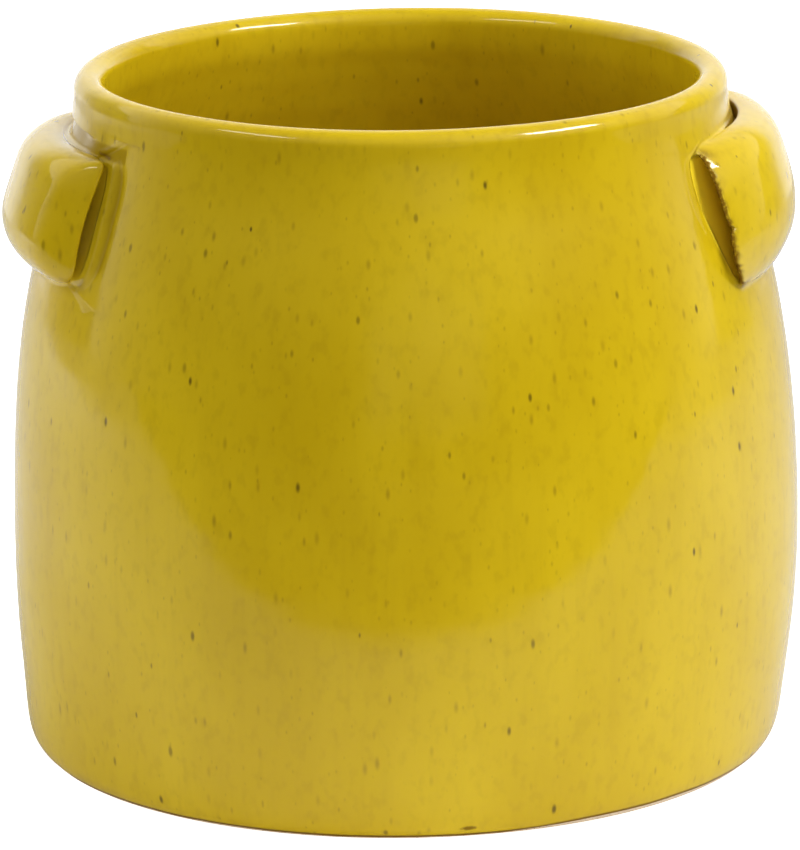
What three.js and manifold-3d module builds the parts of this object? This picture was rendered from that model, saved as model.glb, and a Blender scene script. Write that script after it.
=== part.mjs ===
// Wide-mouthed stoneware planter pot with two ear lugs, in millimetres, +Z up.
// The origin is on the standing surface, under the middle of the pot.
// Front is -Y. The two lugs stand at +X and -X.
//
// Pieces, as a potter would lay them out on the bench before joining them:
//   pot_wall   the thrown ring: foot, belly, shoulder, neck and rolled rim
//   pot_floor  the round slab let into the bottom of the ring
//   lug_right  the ear at +X, a broad strap bowed out from the shoulder
//   lug_left   the ear at -X, the same with its own hand-made numbers
import * as THREE from 'three';
import { mergeVertices } from 'three/addons/utils/BufferGeometryUtils.js';
import Module from 'manifold-3d';

// ---------- driving dimensions (mm) ----------
const HEIGHT = 250; // standing surface to the crest of the rim
const RIM_CREST_R = 113.3; // radius of the circle along the top of the rim
const RIM_ROLL_R = 5.6; // radius of the rolled lip in section
const WALL = 11.2; // thickness of the wall, square to its surface
const FOOT_OUT_R = 135.4; // outer edge of the flat that the pot stands on
const FOOT_IN_R = 126.6; // inner edge of that flat, and the bore for the floor slab
const FOOT_RECESS = 2.6; // how far the underside of the floor stands above the foot
const FLOOR_THICK = 11.4; // thickness of the floor slab
const FLOOR_EASE = 1.2; // eased edges of the slab
const JOINT_GAP = 0.3; // clear space at each luted joint
const TURNS = 80; // facets round the pot

// Outside of the wall, foot to neck: [height, radius].
const OUTSIDE = [
  [1.6, 136.6],
  [4, 138.2],
  [8, 139.5],
  [20, 140.9],
  [45, 143.4],
  [75, 144.7],
  [105, 144.2],
  [135, 142.2],
  [160, 138.9],
  [175, 136.0],
  [190, 132.3],
  [208, 127.1],
  [222, 122.9],
  [230, 120.9],
  [237, 119.5],
  [244.4, 118.9],
];

// Ear lugs. Radii are measured from the pot's axis.
// 'outer' is the outside of the strap and 'inner' the roof of the tunnel behind it,
// both from the lower joint up to the upper joint: [radius, height].
// 'ends' is the half-width of the strap along Y at each height: [half-width, height].
const LUG_RIGHT = {
  outer: [
    [131.2, 176.4],
    [134.4, 179.2],
    [136.9, 181.4],
    [140.2, 186.4],
    [142.6, 192],
    [143.7, 197.6],
    [143.7, 203.2],
    [142.8, 209.2],
    [141.2, 215.2],
    [139.3, 221.2],
    [137, 226.6],
    [133.6, 230.4],
    [129, 232.6],
    [124.2, 233.3],
    [119.4, 232.4],
    [115.4, 230.2],
  ],
  inner: [
    [129.4, 185.6],
    [133.8, 187],
    [136.2, 190.8],
    [137.2, 195.8],
    [137.2, 201.4],
    [136.4, 207],
    [134.8, 212.4],
    [132.5, 217.6],
    [129.4, 222.2],
    [125.2, 225.4],
    [118.6, 226.8],
  ],
  ends: [
    [52, 168],
    [57, 177],
    [62, 184],
    [67, 193],
    [70.5, 202],
    [72, 210],
    [71, 218],
    [67, 225.5],
    [60, 232],
    [52, 238],
  ],
};
const LUG_LEFT = {
  outer: [
    [129.8, 179.4],
    [133.4, 181.8],
    [137.6, 184.4],
    [141.4, 187.8],
    [144.4, 192.2],
    [145.8, 197.4],
    [145.6, 202],
    [144.2, 207],
    [142.4, 212.4],
    [140.6, 217.8],
    [138.2, 222.8],
    [134.4, 226.2],
    [129.6, 227.8],
    [124.6, 227.8],
    [119.6, 226.4],
    [115.4, 224],
  ],
  inner: [
    [129.4, 188.6],
    [134.6, 190],
    [137.3, 193.4],
    [138.3, 197.4],
    [138, 202.4],
    [136.8, 207.6],
    [134.8, 212.6],
    [131.9, 216.8],
    [128, 219.8],
    [123.6, 221.2],
    [118.6, 221.8],
  ],
  ends: [
    [58, 170],
    [63, 178],
    [67, 186],
    [70, 194],
    [72, 203],
    [72, 211],
    [70, 218],
    [66, 224.5],
    [60, 230],
    [53, 236],
  ],
};
const LUG_PLAN_FLAT = 50; // half-width along Y where the outside of a lug starts to roll in
const LUG_PLAN_DROP = 10.5; // how far it has rolled in at its very end

// ---------- helpers ----------
const wasm = await Module();
wasm.setup();

const lathe = (points, turns = TURNS) => {
  // points: [radius, height], counter-clockwise, ending where they start
  const ring = points.map(([r, z]) => new THREE.Vector2(r, z));
  const g = new THREE.LatheGeometry(ring, turns);
  g.rotateX(Math.PI / 2); // the lathe turns about +Z
  return g;
};

const clean = (g) => {
  const c = g.clone();
  for (const name of Object.keys(c.attributes)) {
    if (name !== 'position') c.deleteAttribute(name);
  }
  return mergeVertices(c, 1e-4);
};

const toSolid = (g) => {
  const m = clean(g);
  return new wasm.Manifold(
    new wasm.Mesh({
      numProp: 3,
      vertProperties: new Float32Array(m.attributes.position.array),
      triVerts: new Uint32Array(m.index.array),
    }),
  );
};

const toGeometry = (solid) => {
  const mesh = solid.getMesh();
  const g = new THREE.BufferGeometry();
  const n = mesh.numProp;
  const position = new Float32Array((mesh.vertProperties.length / n) * 3);
  for (let i = 0, j = 0; i < mesh.vertProperties.length; i += n, j += 3) {
    position[j] = mesh.vertProperties[i];
    position[j + 1] = mesh.vertProperties[i + 1];
    position[j + 2] = mesh.vertProperties[i + 2];
  }
  g.setAttribute('position', new THREE.BufferAttribute(position, 3));
  g.setIndex(new THREE.BufferAttribute(new Uint32Array(mesh.triVerts), 1));
  g.computeVertexNormals();
  return g;
};

const smooth = (points, steps) =>
  new THREE.SplineCurve(points.map(([a, b]) => new THREE.Vector2(a, b)))
    .getPoints(steps)
    .map((p) => [p.x, p.y]);

// ---------- wall ----------
const outsideLine = smooth(
  OUTSIDE.map(([z, r]) => [r, z]),
  20,
); // [radius, height], going up

const arc = (cr, cz, radius, from, to, steps) => {
  const out = [];
  for (let i = 0; i <= steps; i++) {
    const a = from + ((to - from) * i) / steps;
    out.push([cr + radius * Math.cos(a), cz + radius * Math.sin(a)]);
  }
  return out;
};

const rimLine = arc(RIM_CREST_R, HEIGHT - RIM_ROLL_R, RIM_ROLL_R, 0, Math.PI, 8);

// inside of the wall: the outside moved in by WALL, square to the surface
const insideLine = [];
for (let i = outsideLine.length - 2; i >= 1; i--) {
  const [r0, z0] = outsideLine[i - 1];
  const [r, z] = outsideLine[i];
  const [r1, z1] = outsideLine[i + 1];
  const length = Math.hypot(r1 - r0, z1 - z0);
  const nr = (z1 - z0) / length; // outward normal
  const nz = -(r1 - r0) / length;
  const inner = [r - nr * WALL, z - nz * WALL];
  const top = HEIGHT - RIM_ROLL_R - 4;
  if (inner[1] < top && inner[1] > FOOT_RECESS + FLOOR_THICK + 6) insideLine.push(inner);
}

const wallProfile = [
  [FOOT_IN_R, 0],
  [FOOT_OUT_R, 0],
  ...outsideLine.slice(0, -1),
  ...rimLine,
  ...insideLine,
  [FOOT_IN_R, FOOT_RECESS + FLOOR_THICK + 3],
  [FOOT_IN_R, 0],
];
const wallSolidGeometry = lathe(wallProfile);

// ---------- floor ----------
const floorR = FOOT_IN_R - JOINT_GAP;
const floorLow = FOOT_RECESS;
const floorHigh = FOOT_RECESS + FLOOR_THICK;
const floorGeometry = lathe([
  [0, floorLow],
  [floorR - FLOOR_EASE, floorLow],
  [floorR, floorLow + FLOOR_EASE],
  [floorR, floorHigh - FLOOR_EASE],
  [floorR - FLOOR_EASE, floorHigh],
  [0, floorHigh],
]);

// ---------- lugs ----------
// everything within JOINT_GAP of the outside of the pot, as one solid of revolution
const clearanceSolid = () =>
  toSolid(
    lathe([
      [0, -1],
      [FOOT_OUT_R, -1],
      ...outsideLine.map(([r, z]) => [r + JOINT_GAP, z]),
      [RIM_CREST_R, HEIGHT + 1],
      [0, HEIGHT + 1],
    ]),
  );

const ringOf = (line, steps) => {
  // the band between a line of the section and a core well inside the wall
  const curve = smooth(line, steps);
  const low = curve[0][1];
  const high = curve[curve.length - 1][1];
  const core = 104;
  return toSolid(lathe([[core, low], ...curve, [core, high], [core, low]]));
};

// outline of the strap seen from the side, pushed through along X
const sideOutline = (ends, sign) => {
  const front = smooth(
    ends.map(([y, z]) => [-y, z]),
    20,
  );
  const back = front.map(([y, z]) => [-y, z]).reverse();
  const shape = new THREE.Shape([...back, ...front].map(([y, z]) => new THREE.Vector2(y, z)));
  const g = new THREE.ExtrudeGeometry(shape, { depth: 110, bevelEnabled: false });
  // local X to world Y, local Y to world Z, local Z to world X
  g.applyMatrix4(new THREE.Matrix4().set(0, 0, 1, 0, 1, 0, 0, 0, 0, 1, 0, 0, 0, 0, 0, 1));
  g.translate(sign > 0 ? 70 : -180, 0, 0);
  return toSolid(g);
};

// outline of the strap seen from above: its two ends roll in towards the pot
const planOutline = (outerR, sign) => {
  const edge = [];
  const lastY = 80;
  for (let i = 0; i <= 24; i++) {
    const y = (lastY * i) / 24;
    const past = Math.max(0, (y - LUG_PLAN_FLAT) / (72 - LUG_PLAN_FLAT));
    const x = Math.sqrt((outerR + 1) ** 2 - y * y) - LUG_PLAN_DROP * past ** 2.4;
    edge.push([x, y]);
  }
  const half = edge.map(([x, y]) => [sign * x, y]);
  const outline = [
    [sign * 60, -lastY],
    ...half.slice(1).map(([x, y]) => [x, -y]).reverse(),
    ...half,
    [sign * 60, lastY],
  ];
  if (sign < 0) outline.reverse();
  const shape = new THREE.Shape(outline.map(([x, y]) => new THREE.Vector2(x, y)));
  const g = new THREE.ExtrudeGeometry(shape, { depth: 90, bevelEnabled: false });
  g.translate(0, 0, 160);
  return toSolid(g);
};

const lugSolid = (lug, sign) => {
  const widest = Math.max(...lug.outer.map(([r]) => r));
  return ringOf(lug.outer, 26)
    .subtract(ringOf(lug.inner, 20))
    .intersect(sideOutline(lug.ends, sign))
    .intersect(planOutline(widest, sign))
    .subtract(clearanceSolid());
};

// ---------- assembly ----------
const glaze = () =>
  new THREE.MeshStandardMaterial({ color: 0xba9d1c, roughness: 0.18, metalness: 0 });

const piece = (name, geometry) => {
  const mesh = new THREE.Mesh(geometry, glaze());
  mesh.name = name;
  return mesh;
};

const planter = new THREE.Group();
planter.name = 'planter';
planter.add(piece('pot_wall', wallSolidGeometry));
planter.add(piece('pot_floor', floorGeometry));
planter.add(piece('lug_right', toGeometry(lugSolid(LUG_RIGHT, 1))));
planter.add(piece('lug_left', toGeometry(lugSolid(LUG_LEFT, -1))));

export default planter;
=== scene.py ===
import math

import bpy
import numpy as np
from mathutils import Matrix, Vector


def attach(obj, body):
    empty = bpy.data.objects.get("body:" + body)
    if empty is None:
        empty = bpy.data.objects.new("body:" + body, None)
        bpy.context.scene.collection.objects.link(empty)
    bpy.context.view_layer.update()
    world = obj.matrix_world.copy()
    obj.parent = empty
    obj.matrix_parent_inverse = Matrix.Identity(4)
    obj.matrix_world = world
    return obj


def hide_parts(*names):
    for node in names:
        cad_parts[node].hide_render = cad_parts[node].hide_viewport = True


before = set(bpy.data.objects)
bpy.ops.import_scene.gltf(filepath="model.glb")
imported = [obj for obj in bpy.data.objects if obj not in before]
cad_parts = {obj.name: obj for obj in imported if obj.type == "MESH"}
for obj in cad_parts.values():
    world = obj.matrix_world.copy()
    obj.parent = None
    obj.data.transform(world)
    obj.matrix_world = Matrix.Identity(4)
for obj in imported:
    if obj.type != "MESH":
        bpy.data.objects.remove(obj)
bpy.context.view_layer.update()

MM = 0.001


# ------------------------------------------------------------------ small maths
def sstep(x):
    t = np.clip(x, 0.0, 1.0)
    return t * t * t * (t * (6 * t - 15) + 10)


def smin(a, b, k):
    h = np.maximum(k - np.abs(a - b), 0) / k
    return np.minimum(a, b) - h * h * h * k / 6


def smax(a, b, k):
    return -smin(-a, -b, k)


class Spline:
    """Natural cubic through points, straight on beyond its ends."""

    def __init__(self, xs, ys):
        self.x = np.asarray(xs, float)
        self.y = np.asarray(ys, float)
        n = len(self.x)
        self.h = np.diff(self.x)
        a = np.zeros((n, n))
        right = np.zeros(n)
        a[0, 0] = a[-1, -1] = 1
        for i in range(1, n - 1):
            a[i, i - 1] = self.h[i - 1]
            a[i, i] = 2 * (self.h[i - 1] + self.h[i])
            a[i, i + 1] = self.h[i]
            right[i] = 6 * (
                (self.y[i + 1] - self.y[i]) / self.h[i]
                - (self.y[i] - self.y[i - 1]) / self.h[i - 1]
            )
        self.m = np.linalg.solve(a, right)

    def parts(self, t):
        c = np.clip(t, self.x[0], self.x[-1])
        i = np.clip(np.searchsorted(self.x, c) - 1, 0, len(self.x) - 2)
        h = self.h[i]
        return c, i, h, (self.x[i + 1] - c) / h, (c - self.x[i]) / h

    def slope(self, t):
        c, i, h, a, b = self.parts(np.asarray(t, float))
        return (self.y[i + 1] - self.y[i]) / h + (
            (3 * b * b - 1) * self.m[i + 1] - (3 * a * a - 1) * self.m[i]
        ) * h / 6

    def __call__(self, t):
        t = np.asarray(t, float)
        c, i, h, a, b = self.parts(t)
        v = a * self.y[i] + b * self.y[i + 1]
        v = v + ((a**3 - a) * self.m[i] + (b**3 - b) * self.m[i + 1]) * h * h / 6
        return v + (t - c) * self.slope(c)


# ------------------------------------------------------------------ the pot's outside
HEIGHT = 250.0
WALL = 11.2
RIM_R = 113.3
RIM_ROLL = 5.6
BASE = Spline(
    [-3, 0, 8, 20, 45, 75, 105, 135, 160, 175, 190, 208, 222, 230, 237, 244.4, 252],
    [
        138.7, 139.05, 139.85, 140.95, 143.4, 144.7, 144.2, 142.2, 138.9, 136.0,
        132.3, 127.1, 122.9, 120.9, 119.5, 118.9, 118.8,
    ],
)
LEAN = Spline([-10, 0, 40, 80, 160, 236, 260], [-1.7, -1.4, -0.2, 0.5, 0.0, 0.15, 0.15])


def body_r(z):
    return BASE(z) - 4.2 * np.exp(-np.maximum(z, 0) / 3.3)


def body_slope(z):
    return BASE.slope(z) + 4.2 / 3.3 * np.exp(-np.maximum(z, 0) / 3.3)


def wobble(theta, z):
    """What the hand left: not quite round, and faint rings from throwing."""
    quiet = sstep((z - 2) / 14) * sstep((249 - z) / 22)
    out = 0.20 * np.cos(2 * theta + 0.9 + z / 130) + 0.10 * np.sin(3 * theta - 0.8 + z / 80)
    rings = 0.007 * np.sin(z * 0.58 + 0.9 * np.sin(theta + 0.5) + 0.5 * np.sin(2 * theta))
    rings = rings + 0.014 * np.sin(z * 0.27 + 1.3 * np.sin(theta - 1.1) + 2.0)
    flute = 0.030 * np.sin(11 * theta + z / 36 + 1.2 * np.sin(z / 47)) + 0.016 * np.sin(
        17 * theta - z / 52 + 0.8
    )
    return out + quiet * (rings + flute)


# ------------------------------------------------------------------ meshes
def mesh_object(name, points_mm, faces, normals=None, values=None):
    mesh = bpy.data.meshes.new(name)
    v = np.asarray(points_mm, np.float64) * MM
    f = np.asarray(faces, np.int32)
    mesh.vertices.add(len(v))
    mesh.vertices.foreach_set("co", v.astype(np.float32).ravel())
    mesh.loops.add(f.size)
    mesh.loops.foreach_set("vertex_index", f.ravel())
    mesh.polygons.add(len(f))
    mesh.polygons.foreach_set("loop_start", np.arange(0, f.size, f.shape[1], dtype=np.int32))
    mesh.polygons.foreach_set("use_smooth", np.ones(len(f), bool))
    mesh.update(calc_edges=True)
    mesh.validate()
    for key, value in (values or {}).items():
        layer = mesh.attributes.new(key, "FLOAT", "POINT")
        layer.data.foreach_set("value", np.asarray(value, np.float32))
    if normals is not None:
        mesh.normals_split_custom_set_from_vertices([tuple(n) for n in normals])
    ob = bpy.data.objects.new(name, mesh)
    bpy.context.scene.collection.objects.link(ob)
    return ob


def ring_faces(columns, rows, closed):
    i = np.arange(columns)
    j = np.arange(rows if closed else rows - 1)
    i, j = np.meshgrid(i, j, indexing="ij")
    i1 = (i + 1) % columns
    j1 = (j + 1) % rows
    quad = np.stack([i * rows + j, i1 * rows + j, i1 * rows + j1, i * rows + j1], -1)
    return quad.reshape(-1, 4)


# ------------------------------------------------------------------ lugs
EDGE_PHI = math.radians(45.8)  # where the patch that carries a lug ends, each way round
EDGE_LOW, EDGE_HIGH = 163.5, 244.2
KEEP = 10.5  # over this many mm the patch sinks into the wall


def inset(phi, z):
    """How far a point is inside the edge of a lug's patch, in mm."""
    side = (EDGE_PHI - np.abs(phi)) * 131.0
    low = z - EDGE_LOW
    high = (EDGE_HIGH - z) * 1.9
    return np.minimum(np.minimum(side, low), high)


def polar(points, centre):
    p = np.asarray(points, float)
    a = np.arctan2(p[:, 1] - centre[1], p[:, 0] - centre[0])
    r = np.hypot(p[:, 1] - centre[1], p[:, 0] - centre[0])
    order = np.argsort(a)
    return Spline(a[order], r[order])


def over_body(points):
    """(radius, height) to (height over the body, height)."""
    return [(r - float(body_r(z)), z) for r, z in points]


CENTRE = (-12.0, 205.0)

RIGHT = {
    "sign": 1,
    "outer": over_body(
        [
            (131.2, 176.4), (134.4, 179.2), (136.9, 181.4), (140.2, 186.4), (142.6, 192),
            (143.7, 197.6), (143.7, 203.2), (142.8, 209.2), (141.2, 215.2), (139.3, 221.2),
            (137, 226.6), (133.6, 230.4), (129, 232.6), (124.2, 233.3), (119.4, 232.4),
            (115.4, 230.2),
        ]
    ),
    "inner": over_body(
        [
            (129.4, 185.6), (133.8, 187), (136.2, 190.8), (137.2, 195.8), (137.2, 201.4),
            (136.4, 207), (134.8, 212.4), (132.5, 217.6), (129.4, 222.2), (125.2, 225.4),
            (118.6, 226.8),
        ]
    ),
    "outer_end": [
        (-4, 176.6), (0, 179.8), (2.8, 183.0), (4.9, 188.0), (6.3, 195), (7.1, 202),
        (7.3, 209), (6.9, 216), (5.6, 222), (3.4, 226.8), (0.4, 230.2), (-4, 232.8),
    ],
    "inner_end": [
        (-4, 178.4), (0, 181.0), (2.0, 184.0), (3.8, 188.7), (5.2, 195), (6.0, 202),
        (6.2, 209), (5.8, 216), (4.5, 221.4), (2.4, 225.8), (-0.3, 228.8), (-4, 231.0),
    ],
    "end": Spline(
        [170, 178, 182, 186, 192, 198, 205, 210, 216, 222, 227, 231, 240],
        [54, 58.3, 62.2, 65.7, 68.3, 69.1, 68.4, 68.1, 67.5, 65.4, 62.3, 59.4, 52],
    ),
    "brink": Spline(
        [170, 180.3, 183.2, 188.6, 194.4, 200.2, 205.8, 210.7, 215.6, 221.1, 225.0, 227.8, 230, 236],
        [52, 59.9, 62.6, 65.2, 66.9, 68.1, 68.8, 69.0, 68.5, 67.5, 66.4, 64.4, 60.4, 48],
    ),
    "start": 0.52,
    "outer_power": 2.1,
    "inner_power": 1.4,
    "recess": 1.9,
}
LEFT = {
    "sign": -1,
    "outer": over_body(
        [
            (129.8, 179.4), (133.4, 181.8), (137.6, 184.4), (141.4, 187.8), (144.4, 192.2),
            (145.8, 197.4), (145.6, 202), (144.2, 207), (142.4, 212.4), (140.6, 217.8),
            (138.2, 222.8), (134.4, 226.2), (129.6, 227.8), (124.6, 227.8), (119.6, 226.4),
            (115.4, 224),
        ]
    ),
    "inner": over_body(
        [
            (129.4, 188.6), (134.6, 190), (137.3, 193.4), (138.3, 197.4), (138, 202.4),
            (136.8, 207.6), (134.8, 212.6), (131.9, 216.8), (128, 219.8), (123.6, 221.2),
            (118.6, 221.8),
        ]
    ),
    "outer_end": [
        (-4, 180.4), (0, 184.3), (4.5, 186.2), (9, 189.6), (12, 194.2), (13.4, 199.6),
        (13.5, 205.6), (12.8, 211.6), (11.2, 217.4), (8.4, 222.2), (4.4, 225.8), (0, 228.0),
        (-4, 229.0),
    ],
    "inner_end": [
        (-4, 181.8), (0, 185.4), (1.1, 189.0), (1.9, 194), (2.4, 200), (2.6, 206),
        (2.6, 212), (2.3, 217.5), (1.7, 222.5), (0.8, 226.4), (-0.4, 228.6), (-4, 231.0),
    ],
    "end": Spline(
        [170, 178, 184, 190, 196, 202, 208, 214, 220, 226, 231, 240],
        [61, 64.5, 66.9, 68.7, 69.8, 70.2, 69.9, 69.0, 67.4, 65.3, 63.6, 58],
    ),
    "brink": Spline(
        [170, 180, 185.3, 189.4, 195.1, 200.4, 205.7, 210.8, 216.1, 221.2, 226.2, 229.5, 236],
        [58, 62.4, 65.7, 67.4, 68.3, 68.1, 67.4, 66.5, 65.5, 64.2, 62.6, 61.1, 56],
    ),
    "start": 0.45,
    "outer_power": 2.6,
    "inner_power": 1.6,
    "recess": 0.9,
}


for lug in (RIGHT, LEFT):
    for key in ("outer", "inner", "outer_end", "inner_end"):
        lug[key + "_at"] = polar(lug[key], CENTRE)


def section(lug, which, m, power, w, z):
    a = np.arctan2(z - CENTRE[1], w - CENTRE[0])
    rad = np.hypot(z - CENTRE[1], w - CENTRE[0])
    mid, end = lug[which + "_at"], lug[which + "_end_at"]
    am = np.clip(a, mid.x[0], mid.x[-1])
    ae = np.clip(a, end.x[0], end.x[-1])
    f = np.clip((m - lug["start"]) / (1 - lug["start"]), 0, 1.5) ** power
    rm, re = mid(am), end(ae)
    rho = rm + (re - rm) * f
    dr = mid.slope(am) * (1 - f) + end.slope(ae) * f
    return (rad - rho) / np.sqrt(1 + (dr / np.maximum(rho, 5)) ** 2)


def capsule(y, w, z, a, b, ra, rb):
    """Distance to a tapered capsule in the section plane, from a to b, both (w, z)."""
    dw, dz = b[0] - a[0], b[1] - a[1]
    t = np.clip(((w - a[0]) * dw + (z - a[1]) * dz) / (dw * dw + dz * dz), 0, 1)
    return np.hypot(w - a[0] - t * dw, z - a[1] - t * dz) - (ra + (rb - ra) * t)


def lug_field(lug, p, want=False, sink=True):
    """Negative inside. p is (n, 3) in mm."""
    s = lug["sign"]
    x, y, z = p[:, 0], p[:, 1], p[:, 2]
    dx = s * (x - LEAN(z))
    r = np.hypot(dx, y)
    phi = np.arctan2(-y, dx)  # from the side, front is positive
    theta = np.arctan2(y, x - LEAN(z))
    w = r - body_r(z) - wobble(theta, z)
    slope = 1 / np.sqrt(1 + body_slope(z) ** 2)
    ay = np.abs(y) * np.where(y > 0, 1.015, 1.0)
    shift = 0.0
    if s < 0:
        shift = 0.045 * y * sstep((z - 205) / 20)
    else:
        shift = 0.012 * y * sstep((z - 205) / 20)
    zs = z + shift
    end = lug["end"](zs)
    m = ay / end
    if s > 0:
        # a nick in the front edge of the strap, and the hand's unsteadiness along it
        front = sstep((10 - y) / 20)
        end = end - front * 1.7 * np.exp(-(((zs - 203.4) / 0.9) ** 2))
        end = end + 0.16 * np.sin(1.15 * zs + 1.4 * np.sin(0.37 * zs)) + 0.3 * np.sin(0.33 * zs + front)
    outer = section(lug, "outer", m, lug["outer_power"], w, zs)
    inner = section(lug, "inner", m, lug["inner_power"], w, zs)
    inner_at_body = section(lug, "inner", m, lug["inner_power"], 0 * w, zs)
    brink = lug["brink"](zs)
    gone = ay - brink  # how far the point is outside the brink of the slit
    rim = np.zeros_like(w)
    up = sstep((z - 196) / 26)
    if s > 0:
        soft = 6.5 - 5.0 * up
        rim -= lug["recess"] * sstep(-gone / soft) * sstep(-inner_at_body / 2.2 + 0.15)
        ridge = np.exp(-(((gone - 1.2) / 1.0) ** 2)) * sstep((z - 182) / 10) * sstep((235 - z) / 6)
        rim += (0.10 + 0.30 * up) * ridge
        outside = smax(outer, (ay - end - 0.4 - 1.0 * up) * 0.98, 1.1 + 5.6 * up)
        near = 1.6
        inside_k, edge_k = 1.6, 1.0
    else:
        soft = 4.2 - 0.6 * up
        rim -= lug["recess"] * sstep((0.4 - gone) / soft) * sstep(-inner_at_body / 2.2 + 0.15)
        along = sstep((z - 180) / 9) * sstep((231 - z) / 9)
        rim += 0.30 * np.exp(-(((gone - 2.1) / 1.4) ** 2)) * along
        rim -= 0.30 * np.exp(-(((gone - 5.0) / 1.9) ** 2)) * along
        side = (ay - end - 0.4 + 0.62 * (w - 3.0)) * 0.84
        outside = smax(outer, side, 8.0 - 4.5 * sstep((z - 209) / 12))
        near = 1.6
        inside_k, edge_k = 1.4, 7.5
        # the neck is cut in under its lower edge, above the lug
        band = sstep((235.9 + 0.012 * y - z) / 0.9) * sstep((z - 222) / 8)
        rim -= (
            1.7
            * band
            * (0.62 + 0.38 * sstep((z - 229) / 6))
            * sstep((math.radians(27.5) - phi) / 0.22)
            * sstep((phi + math.radians(46)) / 0.3)
        )
    e = inset(phi, z)
    u = np.maximum(KEEP - e, 0)
    if sink:
        rim += 0.012 - 0.0008 * u * u
    body = w * slope - rim
    solid = smin(body, outside, near)
    hollow = smin(-inner, body, inside_k)
    f = smax(solid, hollow, edge_k)
    if s > 0:
        # the deep crease between the neck and the top of the strap
        c = 1 - ((phi - math.radians(3.5)) / math.radians(15)) ** 2
        open_ = np.sqrt(np.clip(c, 0, 1))
        groove = capsule(y, w, z, (0.5, 229.4), (1.5, 234.6), 0.40, 1.15) + 1.4 * (1 - open_)
        f = smax(f, -groove, 1.2)
        c2 = sstep((phi - math.radians(10)) / 0.12) * sstep((math.radians(27) - phi) / 0.14)
        zc = 232.2 - 1.6 * sstep((phi - math.radians(10)) / 0.4)
        small = np.hypot(w - 1.9, z - zc) - 0.55 + 1.2 * (1 - c2)
        f = smax(f, -small, 1.6)
    else:
        c2 = sstep((phi - math.radians(-20)) / 0.2) * sstep((math.radians(28) - phi) / 0.16)
        top = 226.6 - 0.045 * y
        small = np.hypot(w - 0.6, z - top - 1.2) - 0.8 + 1.2 * (1 - c2)
        f = smax(f, -small, 1.0)
    if not want:
        return f
    return f, {
        "w": w, "phi": phi, "outer": outer, "inner": inner, "gone": gone, "body": body, "end": end,
        "rim": rim, "m": m, "outside": outside, "inset": e, "y": y, "z": z,
        "groove": (groove if s > 0 else small),
    }


def steps(*spans):
    out = []
    for a, b, step in spans:
        n = max(1, int(round((b - a) / step)))
        out.extend(a + (b - a) * k / n for k in range(n))
    out.append(spans[-1][1])
    return np.array(out)


def surface_net(field, axes):
    """One vertex in each cell that the surface crosses, one face round each edge that crosses it."""
    shape = field.shape
    cells = tuple(n - 1 for n in shape)
    total = np.zeros(cells + (3,))
    count = np.zeros(cells)
    inside = field < 0
    index = np.indices(shape)
    quads = []
    for axis in range(3):
        a = [slice(None)] * 3
        b = [slice(None)] * 3
        a[axis] = slice(None, -1)
        b[axis] = slice(1, None)
        a, b = tuple(a), tuple(b)
        cross = inside[a] != inside[b]
        where = np.argwhere(cross)
        va = field[a][cross]
        vb = field[b][cross]
        t = va / (va - vb)
        point = where.astype(float)
        point[:, axis] += t
        o1, o2 = [k for k in range(3) if k != axis]
        around = []
        good = np.ones(len(where), bool)
        for d1, d2 in ((0, 0), (-1, 0), (-1, -1), (0, -1)):
            c = where.copy()
            c[:, o1] += d1
            c[:, o2] += d2
            ok = np.all((c >= 0) & (c < np.array(cells)), axis=1)
            good &= ok
            cc = c[ok]
            np.add.at(total, (cc[:, 0], cc[:, 1], cc[:, 2]), point[ok])
            np.add.at(count, (cc[:, 0], cc[:, 1], cc[:, 2]), 1)
            around.append(c)
        flip = inside[a][cross]
        if axis == 1:
            flip = ~flip
        stack = np.stack(around, 1)[good]
        flip = flip[good]
        stack[~flip] = stack[~flip][:, ::-1]
        quads.append(stack)
    used = count > 0
    ids = np.full(cells, -1, int)
    ids[used] = np.arange(int(used.sum()))
    mean = total[used] / count[used][:, None]
    points = np.stack([np.interp(mean[:, k], np.arange(shape[k]), axes[k]) for k in range(3)], 1)
    quads = np.concatenate(quads)
    faces = ids[quads[..., 0], quads[..., 1], quads[..., 2]]
    return points, faces


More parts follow.
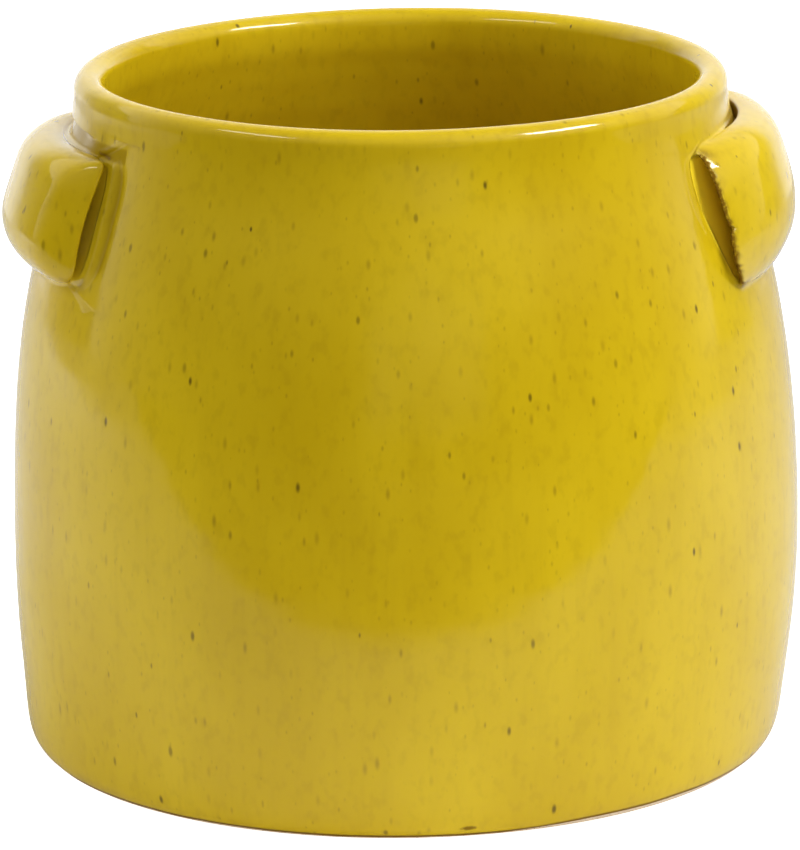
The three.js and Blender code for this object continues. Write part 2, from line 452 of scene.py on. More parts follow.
def make_lug(lug, name):
    s = lug["sign"]
    d = math.radians(1)
    phis = steps(
        (-47.2 * d, -40 * d, 0.75 * d), (-40 * d, -25 * d, 0.27 * d), (-25 * d, 25 * d, 0.55 * d),
        (25 * d, 40 * d, 0.24 * d), (40 * d, 47.2 * d, 0.75 * d),
    )
    zs = steps(
        (162, 176, 1.5), (176, 190, 0.8), (190, 221, 1.15), (221, 237.5, 0.5), (237.5, 245.5, 0.9)
    )
    ws = steps((-8.4, -3.6, 1.2), (-3.6, 18.5, 0.5), (18.5, 21.5, 1.0))
    P, Z, W = np.meshgrid(phis, zs, ws, indexing="ij")

    def place(phi, z, w):
        # the wobble depends on the angle round the pot's own axis
        theta = np.arctan2(-np.sin(phi), s * np.cos(phi))
        r = body_r(z) + wobble(theta, z) + w
        return np.stack([LEAN(z) + s * r * np.cos(phi), -r * np.sin(phi), z], -1)

    flat = place(P.ravel(), Z.ravel(), W.ravel())
    f = np.empty(len(flat))
    for i in range(0, len(flat), 400000):
        f[i : i + 400000] = lug_field(lug, flat[i : i + 400000])
    e = inset(P.ravel(), Z.ravel())
    box = np.maximum(-6.6 - W.ravel(), -e)
    solid = np.maximum(f, box).reshape(P.shape)
    points, faces = surface_net(solid, (phis, zs, ws))
    xyz = place(points[:, 0], points[:, 1], points[:, 2])
    w, z, phi = points[:, 2], points[:, 1], points[:, 0]
    skin = (w > -5.2) & (inset(phi, z) > 1.2)
    q = xyz[skin]
    h = 0.04
    for _ in range(4):
        f0 = lug_field(lug, q)
        g = np.stack(
            [
                (lug_field(lug, q + np.eye(3)[k] * h) - lug_field(lug, q - np.eye(3)[k] * h)) / (2 * h)
                for k in range(3)
            ],
            1,
        )
        g2 = np.maximum((g * g).sum(1), 0.05)
        step = g * (f0 / g2)[:, None]
        length = np.linalg.norm(step, axis=1)
        step *= np.minimum(1, 0.35 / np.maximum(length, 1e-9))[:, None]
        q = q - step
    xyz[skin] = q
    # shade by the surface without the sinking of the patch's border, to join the wall unseen
    for k in range(3):
        d3 = np.eye(3)[k] * h
        g[:, k] = (lug_field(lug, q + d3, sink=False) - lug_field(lug, q - d3, sink=False)) / (2 * h)
    # face directions: outwards
    tri = np.concatenate([faces[:, [0, 1, 2]], faces[:, [0, 2, 3]]])
    a, b, c = xyz[tri[:, 0]], xyz[tri[:, 1]], xyz[tri[:, 2]]
    if (a * np.cross(b, c)).sum() < 0:
        faces = faces[:, ::-1]
    # normals: from the field where the skin is, else from the faces
    tri = np.concatenate([faces[:, [0, 1, 2]], faces[:, [0, 2, 3]]])
    a, b, c = xyz[tri[:, 0]], xyz[tri[:, 1]], xyz[tri[:, 2]]
    fn = np.cross(b - a, c - a)
    vn = np.zeros_like(xyz)
    for k in range(3):
        np.add.at(vn, tri[:, k], fn)
    vn /= np.maximum(np.linalg.norm(vn, axis=1), 1e-12)[:, None]
    gn = g / np.maximum(np.linalg.norm(g, axis=1), 1e-9)[:, None]
    close = (gn * vn[skin]).sum(1) > 0.6
    at = np.flatnonzero(skin)[close]
    vn[at] = gn[close]
    _, facts = lug_field(lug, xyz, want=True)
    values = lug_marks(lug, xyz, facts)
    return mesh_object(name, xyz, faces, vn, values)


def lug_marks(lug, p, t):
    """Where the glaze has run thin and turned brownish, 0 to 1, with painted shade deep in the right lug's crease;
    where glaze collects deeper in colour, with painted shade there too; and painted light inside the slits.
    """
    y, z, phi = t["y"], t["z"], t["phi"]
    ragged = 0.5 + 0.5 * np.sin(z * 1.9 + 1.7 * np.sin(z * 0.83) + y * 0.4)
    front = y < 0
    brown_marks_and_crease_shade = np.zeros(len(p))
    if lug["sign"] > 0:
        edge = np.hypot(np.minimum(t["outside"], 0), np.minimum(-t["inner"], 0))
        on_edge = (t["body"] > 1.2) & (t["m"] > 0.75)
        brown_marks_and_crease_shade = np.where(on_edge, sstep((1.45 + 0.35 * ragged - edge) / 0.8), 0)
        lip = np.exp(-(((t["gone"] + 0.1) / 0.5) ** 2)) * sstep((z - 206) / 12) * (t["body"] < 0.6)
        lip = lip * sstep((231.0 - z) / 1.5)
        brown_marks_and_crease_shade = np.maximum(brown_marks_and_crease_shade, 0.8 * lip * (0.35 + 0.65 * ragged))
        tip = np.hypot((np.abs(y) - 60.0) * 0.8, z - 181.2)
        brown_marks_and_crease_shade = np.maximum(brown_marks_and_crease_shade, 0.8 * np.exp(-((tip / 1.8) ** 2)))
        top = np.hypot((np.abs(y) - 61.0) * 0.7, z - 229.4)
        brown_marks_and_crease_shade = np.maximum(brown_marks_and_crease_shade, 0.7 * np.exp(-((top / 1.8) ** 2)))
        # painted shade: darkest deep in the crease between the neck and the strap
        crease_shade = np.exp(-((np.maximum(t["groove"], 0) / 0.6) ** 2)) * sstep((0.26 - np.abs(phi - 0.06)) / 0.1)
        brown_marks_and_crease_shade = np.maximum(brown_marks_and_crease_shade, 0.85 * crease_shade)
        deep_glaze_and_shade = np.zeros(len(p))
        # painted light: a lighter colour just inside the slit's brink
        slit_painted_light = (t["inner"] < 1.2) * (t["gone"] < 0.3) * sstep((0.3 - t["gone"]) / 1.5)
    else:
        tip = np.hypot((np.abs(y) - 66.0) * 0.8, z - 185.0)
        brown_marks_and_crease_shade = np.maximum(brown_marks_and_crease_shade, 0.7 * np.exp(-((tip / 2.0) ** 2)) * (0.4 + 0.6 * ragged))
        line = np.abs(z - (229.9 - 0.15 * (np.abs(y) - 60)))
        crack = np.exp(-((line / 0.7) ** 2)) * sstep((np.abs(y) - 53.5) / 2) * sstep((62.0 - np.abs(y)) / 2)
        brown_marks_and_crease_shade = np.maximum(brown_marks_and_crease_shade, 0.85 * crack * front)
        # deeper colour in the undercut under the neck: glaze collects there, and it is also painted shade
        undercut_glaze_and_shade = sstep((235.2 - z) / 1.5) * sstep((z - 228) / 2) * (t["w"] < 1.5) * (np.abs(phi) < 0.62)
        # painted light: a lighter colour inside the slit
        slit_painted_light = 0.55 * (t["inner"] < 0.8) * sstep((1.2 - t["gone"]) / 2.6) * sstep((228 - z) / 4)
        # deeper colour along the outer groove beside the slit: glaze collects there, and it is also painted shade
        groove_glaze_and_shade = 0.9 * np.exp(-(((t["gone"] - 5.0) / 1.7) ** 2)) * sstep((z - 186) / 8) * sstep((232 - z) / 7)
        deep_glaze_and_shade = np.maximum(0.9 * undercut_glaze_and_shade, groove_glaze_and_shade * (t["w"] < 1.0))
    return {"brown_marks_and_crease_shade": np.clip(brown_marks_and_crease_shade, 0, 1), "deep_glaze_and_shade": np.clip(deep_glaze_and_shade, 0, 1), "slit_painted_light": np.clip(slit_painted_light, 0, 1)}


# ------------------------------------------------------------------ the wall
def faced_out(points, quads):
    """The faces turned outwards, and the smooth normal at each point."""
    tri = np.concatenate([quads[:, [0, 1, 2]], quads[:, [0, 2, 3]]])
    a, b, c = points[tri[:, 0]], points[tri[:, 1]], points[tri[:, 2]]
    if (a * np.cross(b, c)).sum() < 0:
        quads = quads[:, ::-1]
        tri = np.concatenate([quads[:, [0, 1, 2]], quads[:, [0, 2, 3]]])
        a, b, c = points[tri[:, 0]], points[tri[:, 1]], points[tri[:, 2]]
    fn = np.cross(b - a, c - a)
    vn = np.zeros_like(points)
    for k in range(3):
        np.add.at(vn, tri[:, k], fn)
    return quads, vn / np.maximum(np.linalg.norm(vn, axis=1), 1e-12)[:, None]


def make_wall():
    columns = 320
    out_z = steps((1.9, 8, 0.75), (8, 170, 1.9), (170, 226, 1.6), (226, 238.5, 1.2), (238.5, 244.4, 0.95))
    foot = [(126.7, 1.2), (126.75, 0.5), (127.1, 0.05), (128.5, 0.0), (131.5, 0.0), (134.3, 0.0),
            (134.95, 0.12), (135.3, 0.42), (135.55, 0.85), (135.85, 1.25), (136.15, 1.38), (136.5, 1.55)]
    rim = []
    for k in range(1, 24):
        a = math.pi * k / 24
        rim.append((RIM_R + RIM_ROLL * math.cos(a), HEIGHT - RIM_ROLL + RIM_ROLL * math.sin(a)))
    # inside: the outside moved in square to itself
    zo = np.linspace(20, 246, 400)
    nr = 1 / np.sqrt(1 + body_slope(zo) ** 2)
    ri = body_r(zo) - nr * WALL
    zi = zo + body_slope(zo) * nr * WALL
    inner = Spline(zi[::8], ri[::8])
    in_z = steps((24, 40, 1.6), (40, 205, 2.9), (205, 244.0, 1.5))[::-1]
    rows = [("foot", r, z) for r, z in foot]
    rows += [("out", 0, z) for z in out_z]
    rows += [("rim", r, z) for r, z in rim]
    for z in in_z:
        r = float(inner(z))
        t = float(sstep((z - 228) / 16))
        rows.append(("in", r * (1 - t) + (RIM_R - RIM_ROLL) * t, z))
    rows += [("cove", r, z) for r, z in [(129.6, 22.0), (129.0, 20.2), (128.2, 18.6), (127.4, 17.2), (126.9, 15.4), (126.7, 12), (126.7, 6)]]
    theta = np.arange(columns) * 2 * math.pi / columns
    pts = np.zeros((columns, len(rows), 3))
    low = np.zeros((columns, len(rows)))  # how far the wall goes in under a lug's patch
    for j, (kind, r, z) in enumerate(rows):
        wob = wobble(theta, np.full(columns, z))
        if kind == "out":
            rr = body_r(z) + wob
            for s in (1, -1):
                phi = np.arctan2(-np.sin(theta), s * np.cos(theta))
                e = inset(phi, np.full(columns, z))
                low[:, j] += np.where(e > KEEP + 2.5, 6.1 * sstep((e - KEEP - 2.5) / 5), 0)
            zz = np.full(columns, z)
        elif kind == "rim":
            rr = r + wob
            zz = z + 0.22 * np.sin(2 * theta + 0.4) + 0.1 * np.sin(5 * theta + 1.0)
            zz = np.where(z > HEIGHT - RIM_ROLL, z + (zz - z) * sstep((z - HEIGHT + RIM_ROLL) / 5), z)
        elif kind == "in":
            ring = 0.05 * np.sin(z * 0.52 + 0.8 * np.sin(theta)) + 0.07 * np.sin(z * 0.21 + 1.1 * np.sin(theta + 2))
            ring = ring * sstep((238 - z) / 25) * sstep((z - 24) / 14)
            rr = r + 0.6 * wob + ring
            zz = np.full(columns, z)
        else:
            rr = r + (wob if kind == "foot" else 0) * min(1, z / 1.5)
            zz = np.full(columns, z)
        pts[:, j, 0] = LEAN(z) + rr * np.cos(theta)
        pts[:, j, 1] = rr * np.sin(theta)
        pts[:, j, 2] = zz
    faces = ring_faces(columns, len(rows), True)
    flat = pts.reshape(-1, 3)
    faces, normals = faced_out(flat, faces)
    z = flat[:, 2]
    r = np.hypot(flat[:, 0] - LEAN(z), flat[:, 1])
    bare = (z < 4.5) & (r < 134.6)
    pts[:, :, 0] -= low * np.cos(theta)[:, None]
    pts[:, :, 1] -= low * np.sin(theta)[:, None]
    return mesh_object("wall_skin", pts.reshape(-1, 3), faces, normals, {"bare": bare.astype(float)})


def make_floor():
    columns = 240
    rows = [(2.0, 2.75), (14, 2.7), (40, 2.65), (80, 2.6), (118, 2.6), (122.5, 2.5), (125.2, 2.0),
            (126.6, 1.1), (127.4, 0.55), (128.2, 1.2), (128.4, 6), (128.4, 12), (128.3, 15.8),
            (127.6, 17.0), (126.8, 16.6), (125.6, 15.6), (124, 14.8), (122, 14.35), (119.5, 14.1)]
    rr = steps((2.0, 117.5, 1.55))[::-1]
    rows += [(r, 14.0) for r in rr]
    theta = np.arange(columns) * 2 * math.pi / columns
    pts = np.zeros((columns, len(rows), 3))
    for j, (r, z) in enumerate(rows):
        zz = np.full(columns, float(z))
        if j > 18:
            spiral = 0.30 * np.cos(2 * math.pi * r / 8.5 - theta) * sstep((r - 6) / 10) * sstep((120 - r) / 12)
            zz = zz + spiral - 0.35 * sstep((r - 20) / 90) + 0.35
        pts[:, j, 0] = -1.1 + r * np.cos(theta)
        pts[:, j, 1] = r * np.sin(theta)
        pts[:, j, 2] = zz
    n = len(rows)
    faces = ring_faces(columns, n, False)
    flat = pts.reshape(-1, 3)
    low = len(flat)
    flat = np.vstack([flat, [[-1.1, 0, 2.75]], [[-1.1, 0, 14.35]]])
    i = np.arange(columns)
    i1 = (i + 1) % columns
    caps = [np.stack([np.full(columns, low), i1 * n, i * n], 1), np.stack([np.full(columns, low + 1), i * n + n - 1, i1 * n + n - 1], 1)]
    ob = mesh_object_mixed("floor_skin", flat, faces, np.concatenate(caps), {"bare": (flat[:, 2] < 9).astype(float)})
    return ob


def mesh_object_mixed(name, points_mm, quads, triangles, values):
    mesh = bpy.data.meshes.new(name)
    mesh.from_pydata((np.asarray(points_mm) * MM).tolist(), [], quads.tolist() + triangles.tolist())
    mesh.polygons.foreach_set("use_smooth", np.ones(len(mesh.polygons), bool))
    mesh.update()
    for key, value in values.items():
        layer = mesh.attributes.new(key, "FLOAT", "POINT")
        layer.data.foreach_set("value", np.asarray(value, np.float32))
    ob = bpy.data.objects.new(name, mesh)
    bpy.context.scene.collection.objects.link(ob)
    return ob


wall = make_wall()
floor_slab = make_floor()
lug_r = make_lug(RIGHT, "lug_right_skin")
lug_l = make_lug(LEFT, "lug_left_skin")


# ------------------------------------------------------------------ glaze
GLAZE_DEEP = (0.562, 0.388, 0.0050)
GLAZE_PALE = (0.642, 0.461, 0.0085)


def glaze_material():
    mat = bpy.data.materials.new("mustard_glaze")
    mat.use_nodes = True
    nt = mat.node_tree
    nt.nodes.clear()
    N, L = nt.nodes, nt.links

    def node(kind, **inputs):
        n = N.new(kind)
        for k, v in inputs.items():
            key = k.replace("_", " ")
            n.inputs[key].default_value = v
        return n

    out = N.new("ShaderNodeOutputMaterial")
    bsdf = N.new("ShaderNodeBsdfPrincipled")
    L.new(bsdf.outputs["BSDF"], out.inputs["Surface"])
    bsdf.inputs["IOR"].default_value = 1.52
    bsdf.inputs["Roughness"].default_value = 0.07

    coord = N.new("ShaderNodeTexCoord").outputs["Object"]

    def mapped(sx, sy, sz, ox=0.0, oy=0.0, oz=0.0):
        m = N.new("ShaderNodeMapping")
        m.inputs["Scale"].default_value = (sx, sy, sz)
        m.inputs["Location"].default_value = (ox, oy, oz)
        L.new(coord, m.inputs["Vector"])
        return m.outputs["Vector"]

    def noise(vector, scale, detail=2.0, rough=0.5):
        n = N.new("ShaderNodeTexNoise")
        n.inputs["Scale"].default_value = scale
        n.inputs["Detail"].default_value = detail
        n.inputs["Roughness"].default_value = rough
        L.new(vector, n.inputs["Vector"])
        return n.outputs["Fac"]

    def ramp(fac, lo, hi, a=0.0, b=1.0, smooth=True):
        m = N.new("ShaderNodeMapRange")
        m.interpolation_type = "SMOOTHSTEP" if smooth else "LINEAR"
        for key, v in (("From Min", lo), ("From Max", hi), ("To Min", a), ("To Max", b)):
            m.inputs[key].default_value = v
        L.new(fac, m.inputs["Value"])
        return m.outputs["Result"]

    def math_(op, a, b=None, clamp=False):
        m = N.new("ShaderNodeMath")
        m.operation = op
        m.use_clamp = clamp
        for i, v in enumerate((a, b)):
            if v is None:
                continue
            if isinstance(v, (int, float)):
                m.inputs[i].default_value = v
            else:
                L.new(v, m.inputs[i])
        return m.outputs[0]

    def mix(fac, a, b, mode="MIX"):
        m = N.new("ShaderNodeMix")
        m.data_type = "RGBA"
        m.blend_type = mode
        m.clamp_factor = True
        if isinstance(fac, (int, float)):
            m.inputs["Factor"].default_value = fac
        else:
            L.new(fac, m.inputs["Factor"])
        for key, v in (("A", a), ("B", b)):
            sock = [i for i in m.inputs if i.name == key and i.type == "RGBA"][0]
            if isinstance(v, tuple):
                sock.default_value = (*v, 1)
            else:
                L.new(v, sock)
        return [o for o in m.outputs if o.type == "RGBA"][0]

    def attribute(name):
        a = N.new("ShaderNodeAttribute")
        a.attribute_type = "GEOMETRY"
        a.attribute_name = name
        return a.outputs["Fac"]

    # body colour: cloudy, with long soft runs down the pot
    cloud = noise(mapped(1, 1, 0.55), 14, 3.0, 0.55)
    runs = noise(mapped(1, 1, 0.10, 0.3, 0.1, 0.0), 150, 3.0, 0.6)
    colour = mix(ramp(cloud, 0.32, 0.70), GLAZE_DEEP, GLAZE_PALE)
    colour = mix(ramp(runs, 0.46, 0.74, 0.0, 0.13), colour, (0.400, 0.262, 0.006))
    mottle = noise(mapped(1, 1, 0.6, 0.4, 0.2, 0.7), 260, 2.0, 0.5)
    colour = mix(ramp(mottle, 0.48, 0.74, 0.0, 0.24), colour, (0.400, 0.268, 0.006))

    # iron specks, soft and drawn out down the pot
    def specks(cell, stretch, lo, hi, share, ox, soft):
        v = N.new("ShaderNodeTexVoronoi")
        v.feature = "F1"
        v.inputs["Scale"].default_value = 1.0 / cell
        v.inputs["Randomness"].default_value = 1.0
        warp = mapped(1, 1, 1.0 / stretch, ox, ox * 0.7, ox * 1.3)
        L.new(warp, v.inputs["Vector"])
        sep = N.new("ShaderNodeSeparateColor")
        L.new(v.outputs["Color"], sep.inputs["Color"])
        size = ramp(sep.outputs["Green"], 0.0, 1.0, 0.0, 1.0, smooth=False)
        d = math_("DIVIDE", v.outputs["Distance"], math_("ADD", math_("MULTIPLY", size, hi), lo))
        spot = ramp(d, soft, 1.0, 1.0, 0.0)
        strength = ramp(sep.outputs["Blue"], 0.0, 1.0, 0.45, 1.0, smooth=False)
        spot = math_("MULTIPLY", spot, strength)
        return math_("MULTIPLY", spot, ramp(sep.outputs["Red"], 1 - share, 1 - share + 0.02))

    big = specks(0.0074, 2.3, 0.085, 0.095, 0.50, 0.11, 0.25)
    middle = specks(0.0050, 2.8, 0.130, 0.160, 0.62, 0.53, 0.05)
    fine = specks(0.0030, 2.0, 0.140, 0.120, 0.55, 0.87, 0.05)
    colour = mix(math_("MULTIPLY", middle, 0.60), colour, (0.215, 0.135, 0.006))
    colour = mix(math_("MULTIPLY", fine, 0.42), colour, (0.200, 0.122, 0.006))
    colour = mix(math_("MULTIPLY", big, 0.92), colour, (0.075, 0.043, 0.005))

    # deeper colour where glaze collects, painted shade there too in the left lug's undercut and outer groove; a
    # lighter colour inside the slits is painted light; thin glaze turns brownish
    colour = mix(math_("MULTIPLY", attribute("deep_glaze_and_shade"), 0.72), colour, (0.280, 0.170, 0.004))
    colour = mix(attribute("slit_painted_light"), colour, (0.93, 0.71, 0.030))
    sepp = N.new("ShaderNodeSeparateXYZ")
    L.new(coord, sepp.inputs["Vector"])
    height = sepp.outputs["Z"]
    # the glaze ends in a ragged line just above the standing face, and is thin there
    ragged = math_("MULTIPLY", noise(mapped(1, 1, 0.6, 0.2, 0.9, 0.4), 45, 3.0, 0.6), 0.0009)
    shown = ramp(sepp.outputs["X"], 0.030, 0.075, 0.0002, 0.0018)
    over = math_("SUBTRACT", height, math_("ADD", ragged, shown))
    foot_bare = ramp(over, -0.0001, 0.0001, 1.0, 0.0)
    foot_thin = math_("MULTIPLY", ramp(over, 0.0004, 0.0015, 0.95, 0.0), ramp(over, -0.0002, 0.0, 0.0, 1.0))
    # one bruise in the glaze at the foot, in front
    away = N.new("ShaderNodeVectorMath")
    away.operation = "SUBTRACT"
    L.new(coord, away.inputs[0])
    away.inputs[1].default_value = (0.0212, -0.1372, 0.0040)
    scaled = N.new("ShaderNodeVectorMath")
    scaled.operation = "MULTIPLY"
    L.new(away.outputs[0], scaled.inputs[0])
    scaled.inputs[1].default_value = (0.30, 0.30, 1.0)
    length = N.new("ShaderNodeVectorMath")
    length.operation = "LENGTH"
    L.new(scaled.outputs[0], length.inputs[0])
    torn = noise(mapped(1, 1, 1, 0.7, 0.2, 0.5), 900, 2.0, 0.6)
    bruise = math_("ADD", length.outputs["Value"], math_("MULTIPLY", torn, 0.0008))
    bruise = ramp(bruise, 0.0009, 0.0016, 0.8, 0.0)
    # thin-glaze marks, nicks and cracks, with painted shade deep in the crease
    brown_marks_and_crease_shade = attribute("brown_marks_and_crease_shade")
    brown_marks_and_crease_shade = math_("MULTIPLY", brown_marks_and_crease_shade, ramp(torn, 0.25, 0.55, 0.62, 1.0), clamp=True)
    brown_marks_and_crease_shade = math_("MAXIMUM", math_("MAXIMUM", brown_marks_and_crease_shade, foot_thin), bruise)
    colour = mix(brown_marks_and_crease_shade, colour, (0.160, 0.078, 0.006))
    dull = math_("MAXIMUM", brown_marks_and_crease_shade, math_("MULTIPLY", attribute("deep_glaze_and_shade"), 0.75))
    L.new(ramp(dull, 0.0, 1.0, 0.5, 0.0), bsdf.inputs["Specular IOR Level"])

    # bare clay at the foot and underneath
    clay = mix(noise(mapped(1, 1, 1), 260, 4.0, 0.6), (0.68, 0.55, 0.39), (0.78, 0.65, 0.47))
    grog = noise(mapped(1, 1, 1, 0.2, 0.5, 0.1), 1500, 2.0, 0.5)
    clay = mix(ramp(grog, 0.60, 0.68, 0.0, 0.6), clay, (0.22, 0.13, 0.07))
    bare = math_("MAXIMUM", attribute("bare"), foot_bare)
    colour = mix(bare, colour, clay)
    L.new(colour, bsdf.inputs["Base Color"])

    # gloss, a little duller where the glaze is thin
    gloss = ramp(noise(mapped(1, 1, 0.5, 0.9, 0.4, 0.3), 60, 3.0, 0.6), 0.3, 0.7, 0.055, 0.11)
    gloss = math_("ADD", gloss, math_("MULTIPLY", brown_marks_and_crease_shade, 0.34))
    gloss = math_("ADD", gloss, math_("MULTIPLY", bare, 0.62), clamp=True)
    L.new(gloss, bsdf.inputs["Roughness"])

    # surface: slow swells, a fine orange peel, and tiny dimples at the specks
    swell = noise(mapped(1, 1, 0.6, 0.6, 0.3, 0.8), 55, 2.0, 0.5)
    peel = noise(mapped(1, 1, 0.8, 0.4, 0.8, 0.2), 420, 2.0, 0.5)
    b1 = N.new("ShaderNodeBump")
    b1.inputs["Strength"].default_value = 1.0
    b1.inputs["Distance"].default_value = 0.00016
    L.new(swell, b1.inputs["Height"])
    b2 = N.new("ShaderNodeBump")
    b2.inputs["Strength"].default_value = 1.0
    b2.inputs["Distance"].default_value = 0.000018
    L.new(peel, b2.inputs["Height"])
    L.new(b1.outputs["Normal"], b2.inputs["Normal"])
    b3 = N.new("ShaderNodeBump")
    b3.inputs["Strength"].default_value = 1.0
    b3.inputs["Distance"].default_value = 0.00006
    L.new(math_("MULTIPLY", big, -1.0), b3.inputs["Height"])
    L.new(b2.outputs["Normal"], b3.inputs["Normal"])
    L.new(b3.outputs["Normal"], bsdf.inputs["Normal"])
    return mat


glaze = glaze_material()
for piece, node in ((wall, "pot_wall"), (floor_slab, "pot_floor"), (lug_r, "lug_right"), (lug_l, "lug_left")):
    piece.data.materials.append(glaze)
    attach(piece, "root")
    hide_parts(node)


# ------------------------------------------------------------------ studio
def plain(name, colour, emit=0.0, diffuse=True):
    mat = bpy.data.materials.new(name)
    mat.use_nodes = True
    nt = mat.node_tree
    bsdf = nt.nodes["Principled BSDF"]
    bsdf.inputs["Base Color"].default_value = (*colour, 1)
    bsdf.inputs["Roughness"].default_value = 0.9
    bsdf.inputs["Specular IOR Level"].default_value = 0.0
    if emit:
        bsdf.inputs["Emission Color"].default_value = (1, 1, 1, 1)
        bsdf.inputs["Emission Strength"].default_value = emit
    return mat


def glow(name, strength, colour=(1, 1, 1)):
    mat = bpy.data.materials.new(name)
    mat.use_nodes = True
    nt = mat.node_tree
    nt.nodes.clear()
    out = nt.nodes.new("ShaderNodeOutputMaterial")
    em = nt.nodes.new("ShaderNodeEmission")
    em.inputs["Color"].default_value = (*colour, 1)
    em.inputs["Strength"].default_value = strength
    nt.links.new(em.outputs[0], out.inputs["Surface"])
    return mat


def sheet(name, corners, mat, camera=True, glossy=True, diffuse=True, shadow=True):
    mesh = bpy.data.meshes.new(name)
    mesh.from_pydata([tuple(c) for c in corners], [], [(0, 1, 2, 3)])
    mesh.materials.append(mat)
    ob = bpy.data.objects.new(name, mesh)
    bpy.context.scene.collection.objects.link(ob)
    ob.visible_camera = camera
    ob.visible_glossy = glossy
    ob.visible_diffuse = diffuse
    ob.visible_shadow = shadow
    ob.visible_transmission = False
    return ob


def rect(x0, y0, x1, y1, z):
    return [(x0, y0, z), (x1, y0, z), (x1, y1, z), (x0, y1, z)]


def patch_material(name, white, dark, emit, x_edge, y_edge, soft):
    """A sheet that is white within an edge and painted dark beyond it, with a soft change between, glowing by emit
    where it is white. Given a front edge, it is also painted dark in front of that edge, darker towards the front,
    and glows at its distant sides: painted shade and painted light in place of the room.
    """
    mat = plain(name, white)
    nt = mat.node_tree
    N, L = nt.nodes, nt.links
    bsdf = N["Principled BSDF"]
    split = N.new("ShaderNodeSeparateXYZ")
    L.new(N.new("ShaderNodeTexCoord").outputs["Object"], split.inputs["Vector"])

    def change(socket, lo, hi):
        m = N.new("ShaderNodeMapRange")
        m.interpolation_type = "SMOOTHSTEP"
        m.inputs["From Min"].default_value = lo
        m.inputs["From Max"].default_value = hi
        L.new(socket, m.inputs["Value"])
        return m.outputs["Result"]

    def times(a, b):
        m = N.new("ShaderNodeMath")
        m.operation = "MULTIPLY"
        L.new(a, m.inputs[0])
        if isinstance(b, float):
            m.inputs[1].default_value = b
        else:
            L.new(b, m.inputs[1])
        return m.outputs[0]

    wide = N.new("ShaderNodeMath")
    wide.operation = "ABSOLUTE"
    L.new(split.outputs["X"], wide.inputs[0])
    # painted shade beyond the side edge
    keep = change(wide.outputs[0], x_edge + soft * 8, x_edge - soft * 8)
    if y_edge is not None:
        rest = N.new("ShaderNodeMath")
        rest.operation = "MULTIPLY_ADD"
        L.new(keep, rest.inputs[0])
        rest.inputs[1].default_value = 0.55
        rest.inputs[2].default_value = 0.45
        keep = rest.outputs[0]
        skew = N.new("ShaderNodeMath")
        skew.operation = "MULTIPLY_ADD"
        L.new(split.outputs["X"], skew.inputs[0])
        skew.inputs[1].default_value = 0.03
        L.new(split.outputs["Y"], skew.inputs[2])
        # painted shade: dark in front of the edge
        front = change(skew.outputs[0], y_edge - soft, y_edge + soft)
        keep = times(keep, front)
        # painted light: a faint glow towards the table's distant sides
        far_side_glow = times(times(change(wide.outputs[0], 0.8, 2.2), front), 0.20)
        # painted shade: darker towards the front
        front_shade = N.new("ShaderNodeMapRange")
        front_shade.interpolation_type = "SMOOTHSTEP"
        for key, v in (("From Min", -0.36), ("From Max", 0.12), ("To Min", 0.58), ("To Max", 1.0)):
            front_shade.inputs[key].default_value = v
        L.new(split.outputs["Y"], front_shade.inputs["Value"])
        keep = times(keep, front_shade.outputs["Result"])
    mixer = N.new("ShaderNodeMix")
    mixer.data_type = "RGBA"
    L.new(keep, mixer.inputs["Factor"])
    for key, v in (("A", dark), ("B", white)):
        [i for i in mixer.inputs if i.name == key and i.type == "RGBA"][0].default_value = (*v, 1)
    L.new([o for o in mixer.outputs if o.type == "RGBA"][0], bsdf.inputs["Base Color"])
    bsdf.inputs["Emission Color"].default_value = (1, 1, 1, 1)
    shine = times(keep, emit)
    if y_edge is not None:
        total = N.new("ShaderNodeMath")
        total.operation = "ADD"
        L.new(shine, total.inputs[0])
        L.new(far_side_glow, total.inputs[1])
        shine = total.outputs[0]
    L.new(shine, bsdf.inputs["Emission Strength"])
    return mat


KEY, FILL, FRONT, SIDE, TOP = 12.5, 1.8, 6.3, 8.6, 8.6
FLOOR_GLOW = 0.0
BOUNCE_GLOW = 0.40
BACK_GLOW = 0.15
EVEN = 0.01
ROOM = [
    (135, 10, 7.0, 1.45), (180, 10, 7.0, 1.60), (-135, 10, 7.0, 1.50),
    (0, 45, 8.0, 0.08), (60, 45, 8.0, 0.85), (-60, 45, 8.0, 0.25),
]
# what the camera sees: an even white floor with the pot's soft contact shadow
seen = sheet("floor_seen", rect(-30, -30, 30, 30, -0.0002), plain("floor_bright", (0.9, 0.9, 0.9), emit=0.90),
             glossy=False, diffuse=False, shadow=False)
# what lights the pot from below and shows in its gloss: a white table with a sweep behind it; the table is painted
# dark in front of its edge and darker towards the front and glows at its distant sides, and the sweep glows and is
# painted grey at its sides: painted shade and painted light
lit = sheet("floor_lit", rect(-4, -4, 4, 1.2, -0.0004),
            patch_material("floor_white", (0.63, 0.63, 0.63), (0.03, 0.03, 0.03), FLOOR_GLOW, 1.5, -0.385, 0.035),
            camera=False, diffuse=False, shadow=False)
bounce = sheet("floor_bounce", rect(-1.6, -0.40, 1.6, 1.2, -0.0006), plain("floor_soft", (0.68, 0.68, 0.68), emit=BOUNCE_GLOW),
               camera=False, glossy=False)
back = sheet("backdrop", [(-4, 1.2, 0), (4, 1.2, 0), (4, 1.5, 1.4), (-4, 1.5, 1.4)],
             patch_material("backdrop_white", (0.93, 0.93, 0.93), (0.60, 0.60, 0.60), BACK_GLOW, 1.05, None, 0.06),
             camera=False, shadow=False)


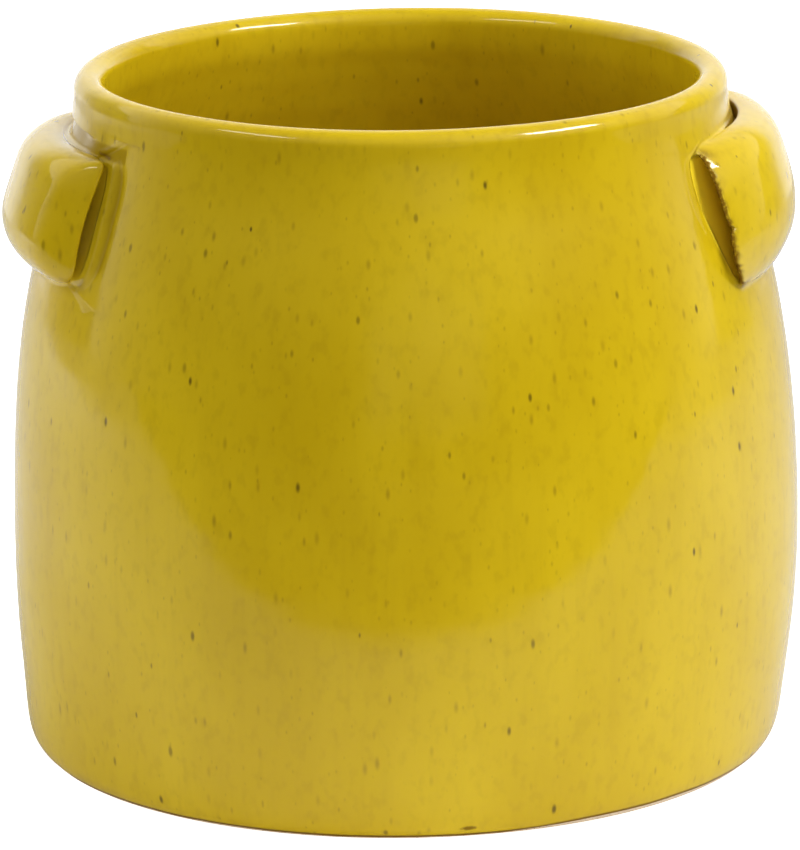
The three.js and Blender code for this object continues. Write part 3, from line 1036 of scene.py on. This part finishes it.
def area(name, location, target, size, size_y, power, colour=(1, 1, 1), gloss=True):
    light = bpy.data.lights.new(name, "AREA")
    light.shape = "RECTANGLE"
    light.size, light.size_y = size, size_y
    light.energy = power
    light.color = colour
    ob = bpy.data.objects.new(name, light)
    ob.visible_glossy = gloss
    ob.location = location
    ob.rotation_euler = (Vector(target) - Vector(location)).to_track_quat("-Z", "Y").to_euler()
    bpy.context.scene.collection.objects.link(ob)
    return ob


def around(azimuth, elevation, distance):
    """A place round the pot: azimuth 0 is towards the camera, positive to the right."""
    a, e = math.radians(azimuth), math.radians(elevation)
    return (
        distance * math.sin(a) * math.cos(e),
        -distance * math.cos(a) * math.cos(e),
        0.13 + distance * math.sin(e),
    )


key = area("key", around(70, 49, 1.5), (0, 0, 0.13), 0.62, 0.24, KEY)
fill = area("fill", around(-62, 49, 1.5), (0, 0, 0.13), 0.62, 0.14, FILL)
front = area("front", around(7, 11, 1.6), (0, 0, 0.13), 0.9, 0.5, FRONT, (1.0, 0.93, 0.84), gloss=False)
side = area("side", around(-113, 17, 1.6), (0, 0, 0.13), 0.7, 0.5, SIDE, gloss=False)
top = area("top", around(90, 76, 1.5), (0, 0, 0.13), 0.8, 0.8, TOP, gloss=False)


def room(parts, even):
    """The room's dim light: soft lobes of (azimuth, elevation, tightness, strength)."""
    world = bpy.data.worlds.new("studio")
    bpy.context.scene.world = world
    world.use_nodes = True
    nt = world.node_tree
    N, L = nt.nodes, nt.links
    bg = N["Background"]
    bg.inputs["Color"].default_value = (1, 1, 1, 1)
    direction = N.new("ShaderNodeTexCoord").outputs["Generated"]
    split = N.new("ShaderNodeSeparateXYZ")
    L.new(direction, split.inputs["Vector"])
    height = split.outputs["Z"]
    total = None
    for azimuth, elevation, tight, strength in parts:
        a, e = math.radians(azimuth), math.radians(elevation)
        dot = N.new("ShaderNodeVectorMath")
        dot.operation = "DOT_PRODUCT"
        L.new(direction, dot.inputs[0])
        dot.inputs[1].default_value = (math.sin(a) * math.cos(e), -math.cos(a) * math.cos(e), math.sin(e))
        value = dot.outputs["Value"]
        for op, other in (("SUBTRACT", 1.0), ("MULTIPLY", tight), ("EXPONENT", None), ("MULTIPLY", strength)):
            m = N.new("ShaderNodeMath")
            m.operation = op
            L.new(value, m.inputs[0])
            if other is not None:
                m.inputs[1].default_value = other
            value = m.outputs[0]
        if elevation > 30:
            rise = N.new("ShaderNodeMapRange")
            rise.interpolation_type = "SMOOTHSTEP"
            rise.inputs["From Min"].default_value = 0.02
            rise.inputs["From Max"].default_value = 0.50
            L.new(height, rise.inputs["Value"])
            m = N.new("ShaderNodeMath")
            m.operation = "MULTIPLY"
            L.new(value, m.inputs[0])
            L.new(rise.outputs["Result"], m.inputs[1])
            value = m.outputs[0]
        m = N.new("ShaderNodeMath")
        m.operation = "ADD"
        L.new(value, m.inputs[0])
        if total is None:
            m.inputs[1].default_value = even
        else:
            L.new(total, m.inputs[1])
        total = m.outputs[0]
    if total is None:
        bg.inputs["Strength"].default_value = even
    else:
        L.new(total, bg.inputs["Strength"])


room(ROOM, EVEN)

# ------------------------------------------------------------------ camera
cam_data = bpy.data.cameras.new("camera")
cam = bpy.data.objects.new("camera", cam_data)
bpy.context.scene.collection.objects.link(cam)
cam_data.sensor_fit = "AUTO"
cam_data.sensor_width = 36.0
cam_data.lens = 257.08
cam_data.clip_start = 0.05
cam_data.clip_end = 100
PITCH, ROLL = 0.2555, 0.0115
forward = Vector((0, math.cos(PITCH), -math.sin(PITCH)))
up0 = Vector((0, math.sin(PITCH), math.cos(PITCH)))
right0 = Vector((1, 0, 0))
right = right0 * math.cos(ROLL) - up0 * math.sin(ROLL)
up = up0 * math.cos(ROLL) + right0 * math.sin(ROLL)
turn = Matrix((right, up, -forward)).transposed()
cam.matrix_world = Matrix.Translation((-0.0014, -2.16615, 0.68104)) @ turn.to_4x4()
bpy.context.scene.camera = cam

bpy.context.scene.view_settings.view_transform = "Standard"
bpy.context.scene.view_settings.look = "None"
bpy.context.scene.view_settings.exposure = 0.0
bpy.context.scene.view_settings.gamma = 1.0
